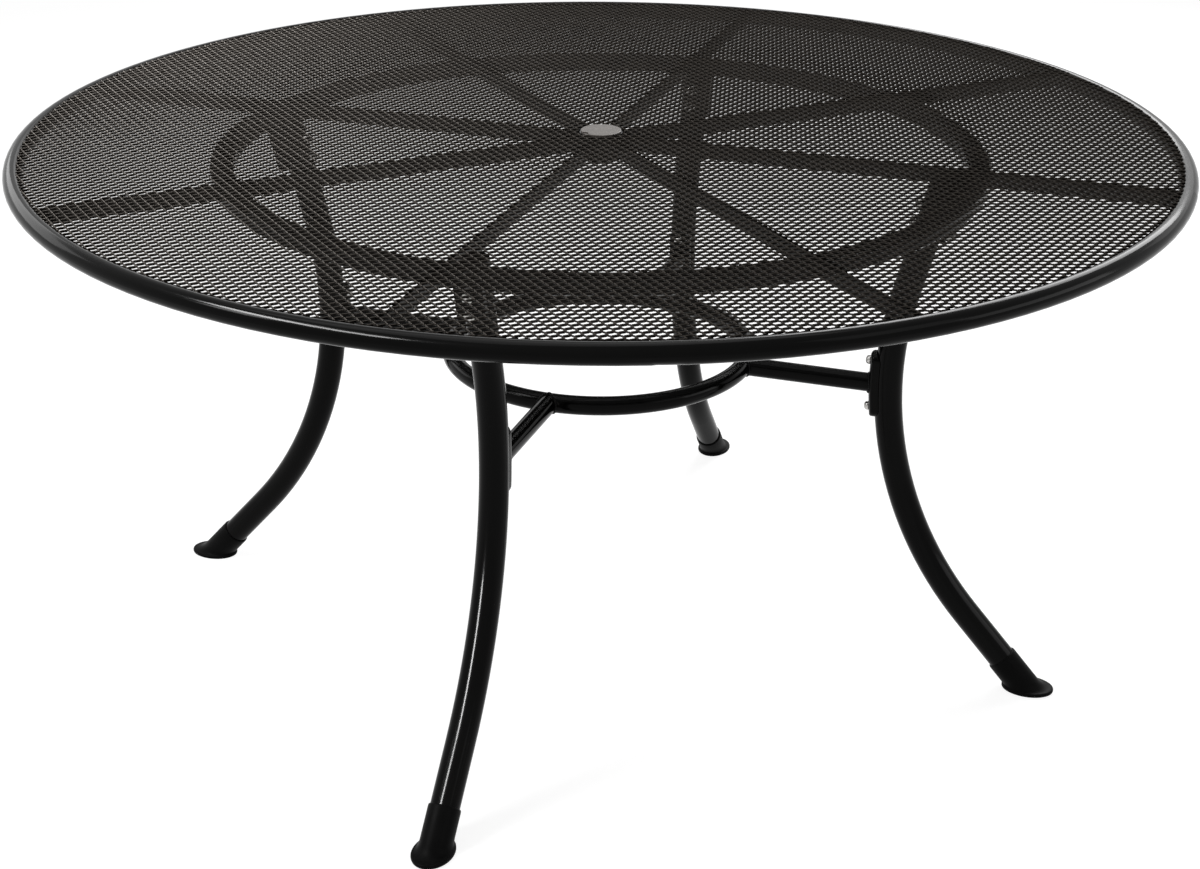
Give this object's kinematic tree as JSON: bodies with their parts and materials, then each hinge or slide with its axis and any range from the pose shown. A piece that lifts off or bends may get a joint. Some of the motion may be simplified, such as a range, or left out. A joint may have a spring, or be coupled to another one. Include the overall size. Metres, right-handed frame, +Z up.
{
  "type": "garden table",
  "caption": "Round metal garden table with an expanded mesh top in a tube rim, bowed tube legs, a lower ring brace and an umbrella hole with a lift-out plug.",
  "frame": {"origin": "on the ground under the middle of the top", "axes": "+Z up, +X, +Y, -X and -Y through the legs"},
  "size_m": [1.5238, 1.5238, 0.7268],
  "materials": {
    "frame_paint": "black powder coat, satin to gloss",
    "mesh_paint": "charcoal powder coat over raised expanded steel",
    "plug_plastic": "warm grey moulded plastic",
    "cap_plastic": "black moulded plastic",
    "bolt_steel": "bright zinc plated domed heads",
    "nut_steel": "zinc plated"
  },
  "bodies": {
    "table": {"bracket_bolts": "bolt_steel", "bracket_nuts": "nut_steel", "foot_cap_back": "cap_plastic", "foot_cap_front": "cap_plastic", "foot_cap_left": "cap_plastic", "foot_cap_right": "cap_plastic", "leg_back": "frame_paint", "leg_bracket_back": "frame_paint", "leg_bracket_front": "frame_paint", "leg_bracket_left": "frame_paint", "leg_bracket_right": "frame_paint", "leg_front": "frame_paint", "leg_left": "frame_paint", "leg_right": "frame_paint", "mesh_top": "mesh_paint", "saddle_bolts": "bolt_steel", "saddle_nuts": "nut_steel", "saddle_plate_back": "frame_paint", "saddle_plate_front": "frame_paint", "saddle_plate_left": "frame_paint", "saddle_plate_right": "frame_paint", "spoke_back": "frame_paint", "spoke_back_left": "frame_paint", "spoke_back_right": "frame_paint", "spoke_front": "frame_paint", "spoke_front_left": "frame_paint", "spoke_front_right": "frame_paint", "spoke_left": "frame_paint", "spoke_right": "frame_paint", "stretcher_arm_back": "frame_paint", "stretcher_arm_front": "frame_paint", "stretcher_arm_left": "frame_paint", "stretcher_arm_right": "frame_paint", "stretcher_ring": "frame_paint", "support_ring": "frame_paint", "table_rim": "frame_paint", "umbrella_hub": "frame_paint"},
    "plug": {"umbrella_plug": "plug_plastic"}
  },
  "joints": [
    {"name": "plug_lift", "type": "slide", "parent": "table", "child": "plug", "axis": [0, 0, 1], "range_m": [0, 0.1]}
  ]
}
